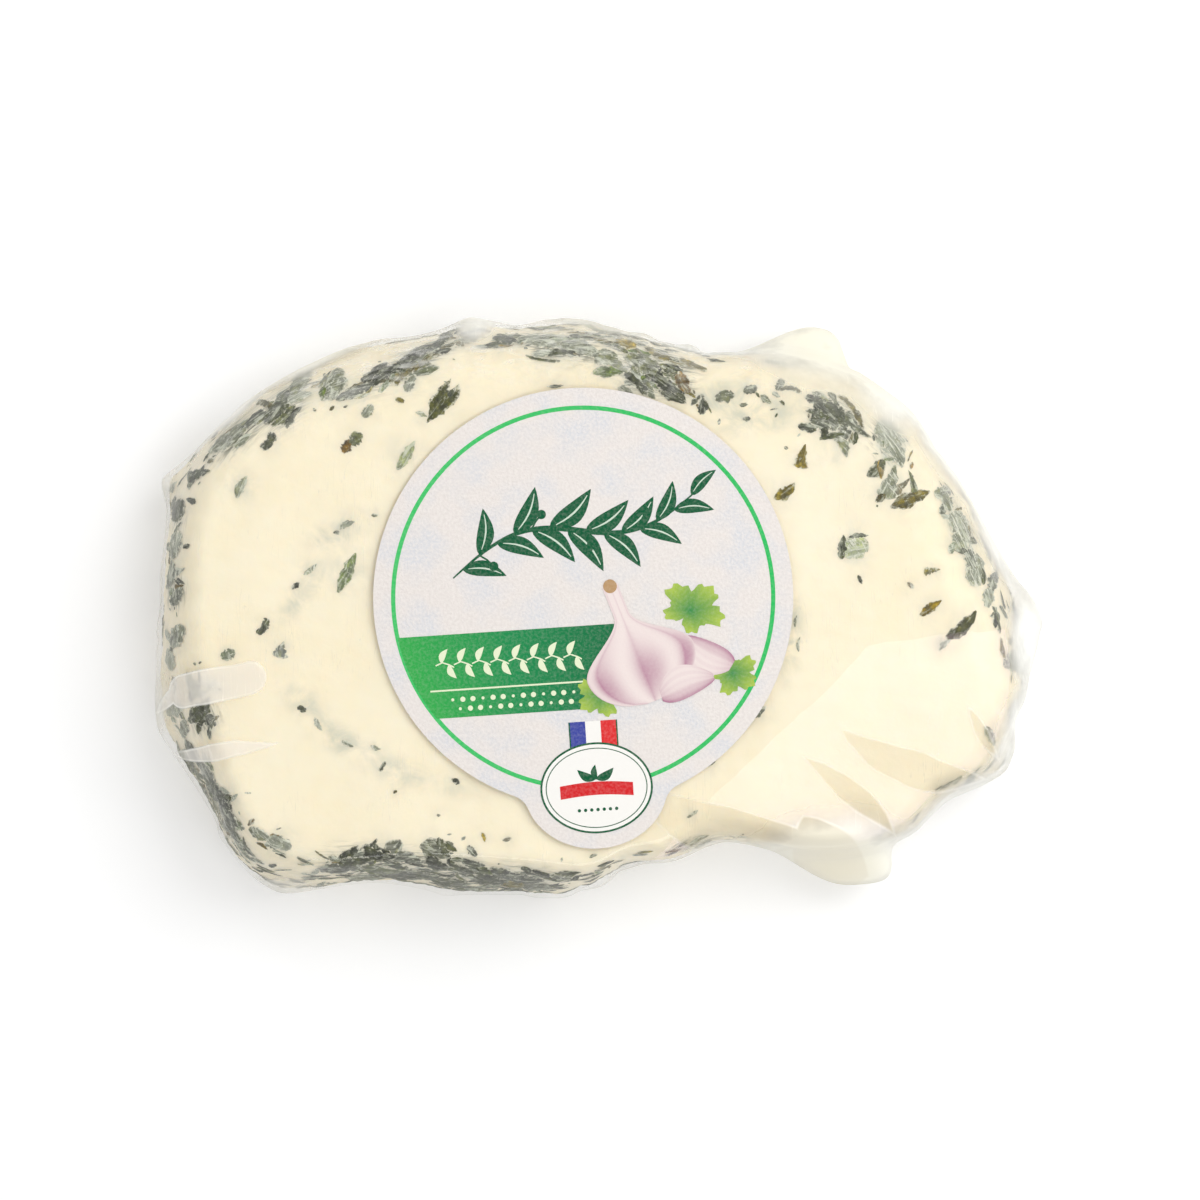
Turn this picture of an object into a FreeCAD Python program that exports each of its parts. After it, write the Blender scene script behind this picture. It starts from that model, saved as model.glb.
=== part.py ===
"""Slice of a rolled cream cheese log, sealed in clear shrink film, with a round paper label on top.

Units are millimetres and degrees. The slice lies flat: +Z is up, +X runs along its long side and
+Y towards its back. The origin is in the middle of the footprint, on the surface that it rests on.
Bearings are counted from +X towards +Y.

Nodes:
  wrapped_slice  the cheese and the film that is shrunk on to it, out to the film's own outline
  label          the die-cut paper sticker: a disc with a round tab on its front edge
"""

import FreeCAD, Part

import math
import os

# The cut log: a squared oval that sagged to one side while it was soft.
SLICE_LENGTH = 112.0
SLICE_WIDTH = 71.6
SLICE_THICKNESS = 21.0
OVAL_POWER = 2.7  # 2 is a true ellipse, and more is squarer

# Where the slice leaves the oval: bearing, how far it stands out, and how wide it does so.
SLICE_SAGS = (
    (19.6, -6.3, 21.0),  # slanting far end
    (65.8, -2.7, 15.8),  # waist beside the back ear
    (217.2, 6.1, 10.5),  # full near corner
    (277.7, -2.6, 7.9),
    (298.5, -5.8, 14.1),  # waist beside the front lobe
    (331.2, -1.7, 4.7),
)

# The side, seen in section: a foot that curves in to the base, a belt, and a shoulder up to the face.
BELT_HEIGHT = 7.0
FOOT_WIDTH = 3.2
SHOULDER_WIDTH = 4.6
SIDE_POWER = 2.2  # 2 makes foot and shoulder quarters of an ellipse, and more is squarer
SIDE_ARC = 78.0  # of the 90 degrees that would meet the base and the face without an edge

# Where the shoulder is wider or narrower than that: bearing, extra width, and spread.
SHOULDER_CHANGES = (
    (15.0, 4.5, 26.0),  # slanting far end
    (128.0, 2.4, 22.0),  # back left
    (185.0, 1.2, 20.0),
    (276.0, -2.0, 16.0),  # under the label's tab
    (325.0, 3.4, 22.0),  # front right
)

# Front right, the face bends down gently to where the log sagged.
FALL_BEARING = 300.5  # the way it falls
FALL_DISTANCE = 28.7  # from the centre to where the bend starts
FALL_SLOPE = 12.0
FALL_BEND_RADIUS = 14.0
BEND_OVERLAP = 0.02  # the bend starts this high above the face, so that the two cross

# The film: its own slack over the cheese, and the ears, pouches and corners it was drawn into.
FILM_SLACK = 0.8
FILM_EARS = (  # bearing, reach, spread, height of the flap's middle, bluntness: 2 is a round bump
    (51.6, 4.5, 6.1, 6.0, 2.4),  # back ear
    (94.1, 1.2, 8.8, 8.0, 1.5),
    (113.8, 1.9, 5.6, 9.0, 1.5),  # back pleat
    (133.4, 0.8, 7.5, 8.0, 1.5),
    (163.5, 2.6, 3.5, 7.0, 1.5),  # upper corner of the near end
    (195.4, 2.7, 8.6, 6.0, 1.5),  # lower corner of the near end
    (222.2, 2.5, 4.6, 6.0, 1.5),
    (242.2, 1.7, 12.0, 7.0, 1.5),
    (262.5, 1.3, 8.5, 6.0, 1.5),  # front tip
    (313.7, 5.6, 6.0, 6.5, 4.0),  # front lobe
    (338.3, 1.8, 4.3, 7.0, 1.5),
    (358.4, 3.5, 6.6, 6.0, 1.5),  # far pouch
)
FLAP_HALF_THICKNESS = 3.0
FOLD_SHARE = 0.16  # how much of an ear's reach is left as a fold over the shoulder

# The label, stuck on the face.
LABEL_RADIUS = 27.0
LABEL_THICKNESS = 0.15
LABEL_CENTRE = (-1.9, 1.4)
LABEL_TURN = 3.8
TAB_WIDTH = 18.4
TAB_DEPTH = 15.6
TAB_REACH = 5.3  # how far the tab's end stands out of the disc
TAB_FILLET = 3.0

# How finely the skin is drawn.
BEARING_STEPS = 150
FOOT_LEVELS = 5
SHOULDER_LEVELS = 10


def bearing_gap(bearing, other):
    """The angle from one bearing to another, from -180 to 180 degrees."""
    return (bearing - other + 180.0) % 360.0 - 180.0


def swell(bearing, middle, height, spread, power=2.0):
    """A smooth swelling of the given height around a bearing."""
    return height * math.exp(-(abs(bearing_gap(bearing, middle)) / spread) ** power)


def oval_reach(bearing):
    """Distance from the centre to the squared oval."""
    along = abs(math.cos(math.radians(bearing))) / (SLICE_LENGTH / 2)
    across = abs(math.sin(math.radians(bearing))) / (SLICE_WIDTH / 2)
    return (along**OVAL_POWER + across**OVAL_POWER) ** (-1 / OVAL_POWER)


def slice_reach(bearing):
    """Distance from the centre to the slice's widest outline, under the film."""
    return oval_reach(bearing) + sum(swell(bearing, *sag) for sag in SLICE_SAGS)


def shoulder_width(bearing):
    """How far the face is set in from the widest outline."""
    return SHOULDER_WIDTH + sum(swell(bearing, *wide) for wide in SHOULDER_CHANGES)


def film_reach(bearing, height):
    """How far the film stands off the slice at a height: its slack, its flaps and the folds above them."""
    reach = FILM_SLACK
    for middle, out, spread, flap_height, bluntness in FILM_EARS:
        flap = swell(bearing, middle, out, spread, bluntness)
        rise = height - flap_height
        reach += flap * math.exp(-((rise / FLAP_HALF_THICKNESS) ** 2))
        if rise > 0:
            left = 1 - rise / (SLICE_THICKNESS - flap_height)
            fade = 1 - math.exp(-((rise / FLAP_HALF_THICKNESS) ** 2))
            reach += FOLD_SHARE * flap * fade * max(left, 0.0)
    return reach


def side_levels():
    """The side from the base up, as pairs: height as a share from belt to face, or to base if negative,
    and how much of the foot's or shoulder's width is already taken up there."""
    power = 2 / SIDE_POWER
    whole_rise = math.sin(math.radians(SIDE_ARC)) ** power
    whole_inset = 1 - math.cos(math.radians(SIDE_ARC)) ** power
    levels = []
    for step in range(-FOOT_LEVELS, SHOULDER_LEVELS + 1):
        count = FOOT_LEVELS if step < 0 else SHOULDER_LEVELS
        angle = math.radians(SIDE_ARC * abs(step) / count)
        rise = math.sin(angle) ** power / whole_rise
        inset = (1 - math.cos(angle) ** power) / whole_inset
        levels.append((math.copysign(rise, step), inset))
    return levels


def skin_point(bearing, share, inset, grow):
    """A point of the skin, before it is centred on the origin. grow thickens the skin outwards."""
    if share < 0:
        height = BELT_HEIGHT * (1 + share)
        reach = slice_reach(bearing) - inset * FOOT_WIDTH
    else:
        height = BELT_HEIGHT + share * (SLICE_THICKNESS - BELT_HEIGHT)
        reach = slice_reach(bearing) - inset * shoulder_width(bearing)
    reach += film_reach(bearing, height) + grow
    angle = math.radians(bearing)
    lift = grow * max(share, 0.0)
    return FreeCAD.Vector(reach * math.cos(angle), reach * math.sin(angle), height + lift)


def skin_rings(grow=0.0):
    """The skin's closed sections from the base up, each as a list of points."""
    bearings = [360.0 * step / BEARING_STEPS for step in range(BEARING_STEPS)]
    return [[skin_point(b, share, inset, grow) for b in bearings] for share, inset in side_levels()]


def footprint_middle():
    """The middle of the box around the skin's sections, seen from above."""
    points = [point for ring in skin_rings() for point in ring]
    across_x = [point.x for point in points]
    across_y = [point.y for point in points]
    middle_x = (min(across_x) + max(across_x)) / 2
    middle_y = (min(across_y) + max(across_y)) / 2
    return FreeCAD.Vector(middle_x, middle_y, 0)


def closed_curve(points):
    """A smooth closed curve through points that are evenly spaced in bearing."""
    curve = Part.BSplineCurve()
    stations = [step / len(points) for step in range(len(points) + 1)]
    curve.interpolate(Points=points, PeriodicFlag=True, Parameters=stations)
    return Part.Wire([curve.toShape()])


def room_above_fall(grow):
    """A block whose underside is the falling part of the face: an arc, then a slope."""
    far = SLICE_LENGTH
    top = SLICE_THICKNESS + far
    height = SLICE_THICKNESS + grow + BEND_OVERLAP
    tilt = math.radians(FALL_SLOPE)
    start = FALL_DISTANCE - math.sqrt(2 * BEND_OVERLAP * FALL_BEND_RADIUS)

    def on_arc(angle):
        along = start + FALL_BEND_RADIUS * math.sin(angle)
        return FreeCAD.Vector(along, -far, height - FALL_BEND_RADIUS * (1 - math.cos(angle)))

    bend_end = on_arc(tilt)
    foot = FreeCAD.Vector(far, -far, bend_end.z - (far - bend_end.x) * math.tan(tilt))
    head = FreeCAD.Vector(far, -far, top)
    back = FreeCAD.Vector(start, -far, top)
    outline = [
        Part.Arc(on_arc(0), on_arc(tilt / 2), bend_end).toShape(),
        Part.makeLine(bend_end, foot),
        Part.makeLine(foot, head),
        Part.makeLine(head, back),
        Part.makeLine(back, on_arc(0)),
    ]
    block = Part.Face(Part.Wire(outline)).extrude(FreeCAD.Vector(0, 2 * far, 0))
    block.rotate(FreeCAD.Vector(0, 0, 0), FreeCAD.Vector(0, 0, 1), FALL_BEARING)
    return block


def wrapped_slice(grow=0.0):
    """The slice in its film, lofted through its sections, with a flat base and a face that falls away
    at the front right."""
    middle = footprint_middle()
    wires = [closed_curve([point - middle for point in ring]) for ring in skin_rings(grow)]
    return Part.makeLoft(wires, True, False).cut(room_above_fall(grow))


def label_blank():
    """An upright block with the label's outline, from half way up the slice to above its face."""
    foot = SLICE_THICKNESS / 2
    depth = SLICE_THICKNESS
    up = FreeCAD.Vector(0, 0, 1)
    disc = Part.makeCylinder(LABEL_RADIUS, depth, FreeCAD.Vector(0, 0, foot), up)
    tab_middle = FreeCAD.Vector(0, TAB_DEPTH / 2 - TAB_REACH - LABEL_RADIUS, foot)
    oval = Part.Ellipse(tab_middle, TAB_WIDTH / 2, TAB_DEPTH / 2)
    tab = Part.Face(Part.Wire([oval.toShape()])).extrude(up * depth)
    block = disc.fuse(tab)
    # The two inner corners where the tab leaves the disc.
    corners = []
    for edge in block.Edges:
        middle = edge.BoundBox.Center
        upright = abs(edge.BoundBox.ZLength - depth) < 0.01
        on_rim = abs(math.hypot(middle.x, middle.y) - LABEL_RADIUS) < 0.01
        if upright and on_rim and middle.y < -LABEL_RADIUS / 2:
            corners.append(edge)
    block = block.makeFillet(TAB_FILLET, corners)
    block.rotate(FreeCAD.Vector(0, 0, 0), up, LABEL_TURN)
    block.translate(FreeCAD.Vector(LABEL_CENTRE[0], LABEL_CENTRE[1], 0))
    return block


def label(body):
    """The sticker: the layer on the body's skin that lies inside the label's outline."""
    return label_blank().common(wrapped_slice(LABEL_THICKNESS)).cut(body)


def main():
    os.makedirs("parts", exist_ok=True)
    body = wrapped_slice()
    nodes = {"wrapped_slice": body, "label": label(body)}
    for name, shape in nodes.items():
        print(name, shape.isValid(), len(shape.Solids), "solid,", round(shape.Volume, 1), "mm3")
        shape.exportStep("parts/" + name + ".step")


main()
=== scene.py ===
import functools
import math
import random

import bmesh
import bpy
import numpy as np
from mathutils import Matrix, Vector
from mathutils.bvhtree import BVHTree
from mathutils.kdtree import KDTree


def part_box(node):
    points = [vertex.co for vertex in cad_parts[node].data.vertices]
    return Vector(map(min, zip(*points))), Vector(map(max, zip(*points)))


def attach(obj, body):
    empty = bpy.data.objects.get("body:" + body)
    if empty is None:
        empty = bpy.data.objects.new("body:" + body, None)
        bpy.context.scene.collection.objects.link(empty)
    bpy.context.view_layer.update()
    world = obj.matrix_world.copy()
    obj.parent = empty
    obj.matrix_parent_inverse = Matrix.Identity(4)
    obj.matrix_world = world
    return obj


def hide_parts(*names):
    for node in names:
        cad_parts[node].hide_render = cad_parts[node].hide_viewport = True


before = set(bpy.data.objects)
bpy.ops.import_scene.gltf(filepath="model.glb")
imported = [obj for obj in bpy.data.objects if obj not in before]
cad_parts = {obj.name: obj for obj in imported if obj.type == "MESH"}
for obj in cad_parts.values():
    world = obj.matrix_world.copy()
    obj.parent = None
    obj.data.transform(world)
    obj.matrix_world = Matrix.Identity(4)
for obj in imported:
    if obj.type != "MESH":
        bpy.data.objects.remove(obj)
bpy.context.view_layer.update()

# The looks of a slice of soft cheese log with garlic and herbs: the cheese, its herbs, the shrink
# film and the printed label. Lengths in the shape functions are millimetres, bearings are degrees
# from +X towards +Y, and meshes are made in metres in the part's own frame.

MM = 0.001
ROOT = "root"
UP = Vector((0, 0, 1))


# ---------------------------------------------------------------- the part's own shape

LENGTH, WIDTH, THICKNESS, OVAL_POWER = 112.0, 71.6, 21.0, 2.7
MIDDLE = (0.043, -0.056)
# Bearing, how far it stands out, spread.
SAGS = ((19.6, -6.3, 21.0), (65.8, -2.7, 15.8), (217.2, 6.1, 10.5),
        (277.7, -2.6, 7.9), (298.5, -5.8, 14.1), (331.2, -1.7, 4.7))
BELT, FOOT, SHOULDER, SIDE_POWER, SIDE_ARC = 7.0, 3.2, 4.6, 2.2, 78.0
SHOULDER_CHANGES = ((15.0, 4.5, 26.0), (128.0, 2.4, 22.0), (185.0, 1.2, 20.0),
                    (276.0, -2.0, 16.0), (325.0, 3.4, 22.0))
FALL_BEARING, FALL_DISTANCE, FALL_SLOPE, FALL_BEND, FALL_LEAD = 300.5, 28.7, 12.0, 14.0, 0.8
FALL_BLEND = 0.5
# Slack film: how far it stands off, then its ears by bearing, reach, spread, height and bluntness.
SLACK, EAR_HEIGHT, EAR_DRAPE = 0.8, 3.0, 0.16
EARS = ((51.6, 4.5, 6.1, 6.0, 2.4), (94.1, 1.2, 8.8, 8.0, 1.5), (113.8, 1.9, 5.6, 9.0, 1.5),
        (133.4, 0.8, 7.5, 8.0, 1.5), (163.5, 2.6, 3.5, 7.0, 1.5), (195.4, 2.7, 8.6, 6.0, 1.5),
        (222.2, 2.5, 4.6, 6.0, 1.5), (242.2, 1.7, 12.0, 7.0, 1.5), (262.5, 1.3, 8.5, 6.0, 1.5),
        (313.7, 5.6, 6.0, 6.5, 4.0), (338.3, 1.8, 4.3, 7.0, 1.5), (358.4, 3.5, 6.6, 6.0, 1.5))


def aim(degrees):
    """Cosine and sine of an angle."""
    return math.cos(math.radians(degrees)), math.sin(math.radians(degrees))


def gap(bearing, other):
    return (bearing - other + 180.0) % 360.0 - 180.0


def swell(bearing, middle, height, spread, power=2.0):
    return height * np.exp(-((np.abs(gap(bearing, middle)) / spread) ** power))


def slice_reach(bearing):
    along = np.abs(np.cos(np.radians(bearing))) / (LENGTH / 2)
    across = np.abs(np.sin(np.radians(bearing))) / (WIDTH / 2)
    oval = (along**OVAL_POWER + across**OVAL_POWER) ** (-1 / OVAL_POWER)
    return oval + sum(swell(bearing, *sag) for sag in SAGS)


def shoulder_width(bearing):
    return SHOULDER + sum(swell(bearing, *wide) for wide in SHOULDER_CHANGES)


def film_reach(bearing, height):
    reach = SLACK + 0 * bearing
    for middle, out, spread, ear_height, blunt in EARS:
        ear = swell(bearing, middle, out, spread, blunt)
        rise = height - ear_height
        sharp = np.exp(-((rise / EAR_HEIGHT) ** 2))
        left = np.clip(1 - rise / (THICKNESS - ear_height), 0, 1)
        reach = reach + ear * sharp + np.where(rise > 0, EAR_DRAPE * ear * (1 - sharp) * left, 0)
    return reach


def fall(x, y):
    """How far the face has fallen away at a point."""
    tilt = math.radians(FALL_SLOPE)
    ahead, aside = aim(FALL_BEARING)
    out = x * ahead + y * aside - FALL_DISTANCE + FALL_LEAD
    bend = FALL_BEND * math.sin(tilt)
    on_arc = np.clip(out, 0, bend) ** 2 / (2 * FALL_BEND)
    return on_arc + np.maximum(out - bend, 0) * math.tan(tilt)


def soft_min(a, b, blend):
    share = np.clip(0.5 + 0.5 * (b - a) / blend, 0, 1)
    return b * (1 - share) + a * share - blend * share * (1 - share)


def side_row(angle, down):
    """Height and taken-up inset, for an angle from the belt towards the base or the face."""
    power = 2 / SIDE_POWER
    (cos, sin), (whole_cos, whole_sin) = aim(angle), aim(SIDE_ARC)
    rise = sin**power / whole_sin**power
    inset = (1 - cos**power) / (1 - whole_cos**power)
    height = BELT * (1 - rise) if down else BELT + rise * (THICKNESS - BELT)
    return height, inset


def smooth_noise(seed, terms, low, high):
    """A smooth seeded field over the plane, about from -1 to 1."""
    rng = random.Random(seed)
    waves = []
    for _ in range(terms):
        pitch = rng.uniform(low, high)
        turn = rng.uniform(0, math.tau)
        waves.append((pitch * math.cos(turn), pitch * math.sin(turn), rng.uniform(0, math.tau)))

    def field(x, y):
        total = sum(np.sin(math.tau * (x * a + y * b) + c) for a, b, c in waves)
        return total / math.sqrt(terms / 2) / 1.6

    return field


# ---------------------------------------------------------------- meshes

def add_object(name, verts_mm, faces, smooth=True):
    mesh = bpy.data.meshes.new(name)
    mesh.from_pydata([tuple(c * MM for c in v) for v in verts_mm], [], faces)
    mesh.validate()
    if smooth:
        mesh.polygons.foreach_set("use_smooth", [True] * len(mesh.polygons))
    mesh.update()
    piece = bpy.data.objects.new(name, mesh)
    bpy.context.scene.collection.objects.link(piece)
    return piece


def face_up(piece):
    """Turns every face so that its front looks up."""
    mesh = bmesh.new()
    mesh.from_mesh(piece.data)
    bmesh.ops.reverse_faces(mesh, faces=[f for f in mesh.faces if f.normal.z < 0])
    mesh.to_mesh(piece.data)
    mesh.free()


def add_value(piece, name, values):
    """A number, vector or colour at each point, for the materials."""
    values = np.asarray(values, np.float32)
    kind, field = {1: ("FLOAT", "value"), 3: ("FLOAT_VECTOR", "vector"),
                   4: ("FLOAT_COLOR", "color")}[values.size // len(values)]
    group = piece.data.color_attributes if field == "color" else piece.data.attributes
    group.new(name, kind, "POINT").data.foreach_set(field, values.ravel())


def ring_mesh(name, rows):
    """A closed surface from rows of points, from the base's middle to the face's middle."""
    count = len(rows[0])
    verts = [tuple(rows[0].mean(0))]
    for row in rows:
        verts.extend(map(tuple, row))
    verts.append(tuple(rows[-1].mean(0)))
    top = len(verts) - 1
    faces = []
    for j in range(count):
        k = (j + 1) % count
        faces.append((0, 1 + k, 1 + j))
        for i in range(len(rows) - 1):
            a = 1 + i * count
            faces.append((a + j, a + k, a + count + k, a + count + j))
        a = 1 + (len(rows) - 1) * count
        faces.append((a + j, a + k, top))
    return add_object(name, verts, faces)


BASE_ROWS, BASE_SPAN = 8, (0.08, 0.95)


def slice_surface(name, bearings, foot_rows, shoulder_rows, face_rows, reach_at, bottom, top,
                  lumpy=None):
    """A mesh over the slice. reach_at(bearing, height, inset, down) gives how far out it is."""
    rows = []
    cos, sin = np.cos(np.radians(bearings)), np.sin(np.radians(bearings))

    def add(reach, height):
        x = reach * cos - MIDDLE[0]
        y = reach * sin - MIDDLE[1]
        rows.append(np.stack([x, y, height + 0 * x], 1))

    foot = reach_at(bearings, 0.0, 1.0, True)
    for share in np.linspace(*BASE_SPAN, BASE_ROWS):
        add(foot * share, bottom)
    for i in range(foot_rows, 0, -1):
        height, inset = side_row(SIDE_ARC * i / foot_rows, True)
        add(reach_at(bearings, height, inset, True), max(height, bottom))
    for i in range(shoulder_rows + 1):
        height, inset = side_row(SIDE_ARC * i / shoulder_rows, False)
        lowered = height - (THICKNESS - top) * height / THICKNESS
        add(reach_at(bearings, height, inset, False), lowered)
    edge = reach_at(bearings, THICKNESS, 1.0, False)
    for i in range(1, face_rows):
        add(edge * (1 - i / face_rows), top)
    for row in rows:
        row[:, 2] = soft_min(row[:, 2], top - fall(row[:, 0], row[:, 1]), FALL_BLEND)
    if lumpy:
        for row in rows[BASE_ROWS:]:
            row[:, 2] += lumpy(*row.T)
    return ring_mesh(name, rows)


# ---------------------------------------------------------------- shader helpers

def material(name):
    """Starts a material. The helpers below then work in its node tree."""
    global tree, shader, surface
    made = bpy.data.materials.new(name)
    made.use_nodes = True
    tree = made.node_tree
    shader, surface = tree.nodes["Principled BSDF"], tree.nodes["Material Output"].inputs["Surface"]
    return made


def plug(value, socket):
    """Gives a socket a link, a number or a colour."""
    if isinstance(value, bpy.types.NodeSocket):
        tree.links.new(value, socket)
    elif isinstance(value, tuple) and socket.type == "RGBA":
        socket.default_value = (*value[:3], 1.0)
    elif value is not None:
        socket.default_value = value


def fill(made, **values):
    """Sets sockets and settings by name, with _ for a space in a socket's name."""
    for key, value in values.items():
        socket = key.replace("_", " ")
        if socket in made.inputs:
            plug(value, made.inputs[socket])
        else:
            setattr(made, key, value)
    return made


def node(kind, *values, **named):
    """A shader node with its first sockets and named ones filled."""
    made = fill(tree.nodes.new("ShaderNode" + kind), **named)
    for value, socket in zip(values, made.inputs):
        plug(value, socket)
    return made


def attribute(name, output="Fac"):
    return node("Attribute", attribute_name=name).outputs[output]


def calc(operation, a, b=None, clamp=False):
    return node("Math", a, b, operation=operation, use_clamp=clamp).outputs[0]


times, plus, less, most, least = (
    functools.partial(calc, operation)
    for operation in ("MULTIPLY", "ADD", "SUBTRACT", "MAXIMUM", "MINIMUM")
)


def noise(vector, scale, detail=3.0, roughness=0.55, distortion=0.0, output="Fac"):
    made = node("TexNoise", Vector=vector, Scale=scale, Detail=detail, Roughness=roughness,
                Distortion=distortion)
    return made.outputs[output]


def span(value, low, high, to_low=0.0, to_high=1.0):
    return node("MapRange", value, low, high, to_low, to_high).outputs["Result"]


def mix_colour(factor, a, b, blend="MIX"):
    made = node("Mix", factor, data_type="RGBA", blend_type=blend)
    plug(a, made.inputs[6])
    plug(b, made.inputs[7])
    return made.outputs[2]


def mix_vector(factor, a, b):
    made = node("Mix", factor, data_type="VECTOR")
    plug(a, made.inputs[4])
    plug(b, made.inputs[5])
    return made.outputs[1]


def mix_shader(factor, a, b):
    return node("MixShader", factor, a, b).outputs[0]


def bump(height, strength, distance, normal=None):
    made = node("Bump", Strength=strength, Distance=distance, Height=height, Normal=normal)
    return made.outputs["Normal"]


def scaled(vector, *scale):
    return node("Mapping", Vector=vector, Scale=scale).outputs["Vector"]


def object_space():
    return node("TexCoord").outputs["Object"]


def vectors(operation, a, b=None, output=0):
    return node("VectorMath", a, b, operation=operation).outputs[output]


def swing(vector, scale, detail, amount):
    """A smooth sideways push."""
    push = vectors("SUBTRACT", noise(vector, scale, detail, 0.5, output="Color"), (0.5, 0.5, 0.5))
    return vectors("MULTIPLY", push, (amount, amount, 0.0))


def plan_view(spot, wander):
    """Millimetres seen from above, with lines made to wander a little."""
    flat = vectors("MULTIPLY", spot, (1000.0, 1000.0, 0.0))
    return vectors("ADD", flat, swing(flat, 0.11, 2.0, wander))


def direction(start, end):
    """Unit vector and distance from start to end."""
    along, up = end[0] - start[0], end[1] - start[1]
    size = math.hypot(along, up)
    return along / size, up / size, size


def beyond(flat, start, end):
    """Distance to the right of the line from start to end."""
    along, up, _ = direction(start, end)
    dot = vectors("DOT_PRODUCT", flat, (up, -along, 0.0), 1)
    return less(dot, start[0] * up - start[1] * along)


def arc_side(flat, start, end, rise, side):
    """Depth inside an arc that bulges by rise to one side, or outside a hollow one if negative."""
    along, up, chord = direction(start, end)
    radius = (chord * chord / 4 + rise * rise) / (2 * abs(rise))
    away = math.copysign(radius - abs(rise), rise) * side
    centre = ((start[0] + end[0]) / 2 + up * away, (start[1] + end[1]) / 2 - along * away, 0.0)
    distance = vectors("DISTANCE", flat, centre, 1)
    return less(radius, distance) if rise > 0 else less(distance, radius)


def lenses(flat, table):
    """Depth inside the nearest of some pointed lenses: start, end, bulge to the left and right."""
    depth = None
    for start, end, left, right in table:
        field = least(arc_side(flat, start, end, left, 1), arc_side(flat, start, end, right, -1))
        depth = field if depth is None else most(depth, field)
    return depth


def finger(flat, start, end, radius):
    """Depth inside a round-ended strip from start to end."""
    along, up, _ = direction(start, end)
    ahead = vectors("DOT_PRODUCT", flat, (along, up, 0.0), 1)
    past = less(ahead, end[0] * along + end[1] * up)
    short = less(start[0] * along + start[1] * up, ahead)
    past = most(most(past, short), 0.0)
    aside = beyond(flat, start, end)
    return less(radius, calc("SQRT", plus(times(past, past), times(aside, aside))))


def line_at(field, middle, half):
    """1 where a field is at its middle value, falling to 0 at half a width away."""
    return span(calc("ABSOLUTE", less(field, middle)), half, 0.0)


def srgb(*rgb):
    """A linear colour from 0-255 screen values."""
    shares = [value / 255 for value in rgb]
    return tuple(c / 12.92 if c <= 0.04045 else ((c + 0.055) / 1.055) ** 2.4 for c in shares)


def between(a, b, share):
    return [x + (y - x) * share for x, y in zip(a, b)]


# ---------------------------------------------------------------- cheese

CHEESE_BOTTOM, CHEESE_TOP = 0.3, 20.5
CHEESE_BEARINGS, CHEESE_ROWS = 420, (7, 18, 60)
LUMP_HEIGHT, RIPPLE_HEIGHT = 0.14, 0.05
lumps = smooth_noise(seed=3, terms=14, low=0.03, high=0.12)
ripples = smooth_noise(seed=5, terms=18, low=0.10, high=0.45)

PLEAT_COUNT, PLEAT_HEIGHT, PLEAT_SPREAD = 54, 7, 7.5
rng = random.Random(58)
PLEATS = [
    (rng.uniform(0, 360), rng.choice((-0.3, 0.4)) * rng.uniform(0.4, 1.0),
     rng.uniform(0.9, 2.6), rng.uniform(-0.5, 0.5))
    for _ in range(PLEAT_COUNT)
]


def pleats(bearing, height):
    """Small upright pleats in the film round the side."""
    rise = height - PLEAT_HEIGHT
    total = sum(swell(bearing, m + lean * rise, out, spread) for m, out, spread, lean in PLEATS)
    return total * np.exp(-((rise / PLEAT_SPREAD) ** 2))


def inset_reach(bearing, inset, down):
    return slice_reach(bearing) - inset * (FOOT if down else shoulder_width(bearing))


# Where the cheese stays out of the film's ears: bearing, share, spread, bluntness.
EMPTY = ((51.6, 0.8, 11, 4), (311, 0.35, 12, 4), (0, 0.6, 9))
CHEESE_GAP, CHEESE_RIPPLE, EAR_FILL = 0.35, 0.15, 0.8


def cheese_reach(bearing, height, inset, down):
    """The cheese fills part of the film's ears, least in the largest, and follows inward pleats."""
    x = slice_reach(bearing) * np.cos(np.radians(bearing))
    y = slice_reach(bearing) * np.sin(np.radians(bearing))
    uneven = CHEESE_GAP + CHEESE_RIPPLE * ripples(x + height * 0.6, y - height * 0.4)
    empty = sum(swell(bearing, *row) for row in EMPTY)
    pressed = (film_reach(bearing, height) - SLACK) * (EAR_FILL - EAR_FILL * np.clip(empty, 0, 1))
    pressed = pressed + np.minimum(pleats(bearing, height), 0)
    return inset_reach(bearing, inset, down) + uneven + pressed


def cheese_lumps(x, y, z):
    share = np.clip((z - 8) / 12, 0, 1)
    return share * (LUMP_HEIGHT * lumps(x, y) + RIPPLE_HEIGHT * ripples(x, y))


bearings = np.arange(CHEESE_BEARINGS) * 360.0 / CHEESE_BEARINGS
cheese = slice_surface("cheese", bearings, *CHEESE_ROWS, cheese_reach, CHEESE_BOTTOM, CHEESE_TOP,
                       cheese_lumps)
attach(cheese, ROOT)
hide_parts("wrapped_slice")

cheese_bvh = BVHTree.FromPolygons(
    [v.co / MM for v in cheese.data.vertices], [tuple(p.vertices) for p in cheese.data.polygons]
)


FLOW_ROUND, FLOW_DOWN = 40, 0.8


def rim_flow(places):
    """Places that follow the rim: round it, and down the side and in over the face."""
    x, y, z = np.asarray(places).T
    around = np.arctan2(y, x)
    inward = slice_reach(np.degrees(around)) - np.hypot(x, y)
    circle = FLOW_ROUND * np.cos(around), FLOW_ROUND * np.sin(around)
    return np.stack([*circle, inward + FLOW_DOWN * z], 1)


def blobs(x, y, table):
    """The strongest of many soft spots: x, y, half length, half width, turn, strength."""
    total = 0 * x
    for cx, cy, long, wide, turn, strength in table:
        c, s = aim(turn)
        u = ((x - cx) * c + (y - cy) * s) / long
        v = ((y - cy) * c - (x - cx) * s) / wide
        total = np.maximum(total, strength * np.exp(-((u * u + v * v) ** 1.5)))
    return total


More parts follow.
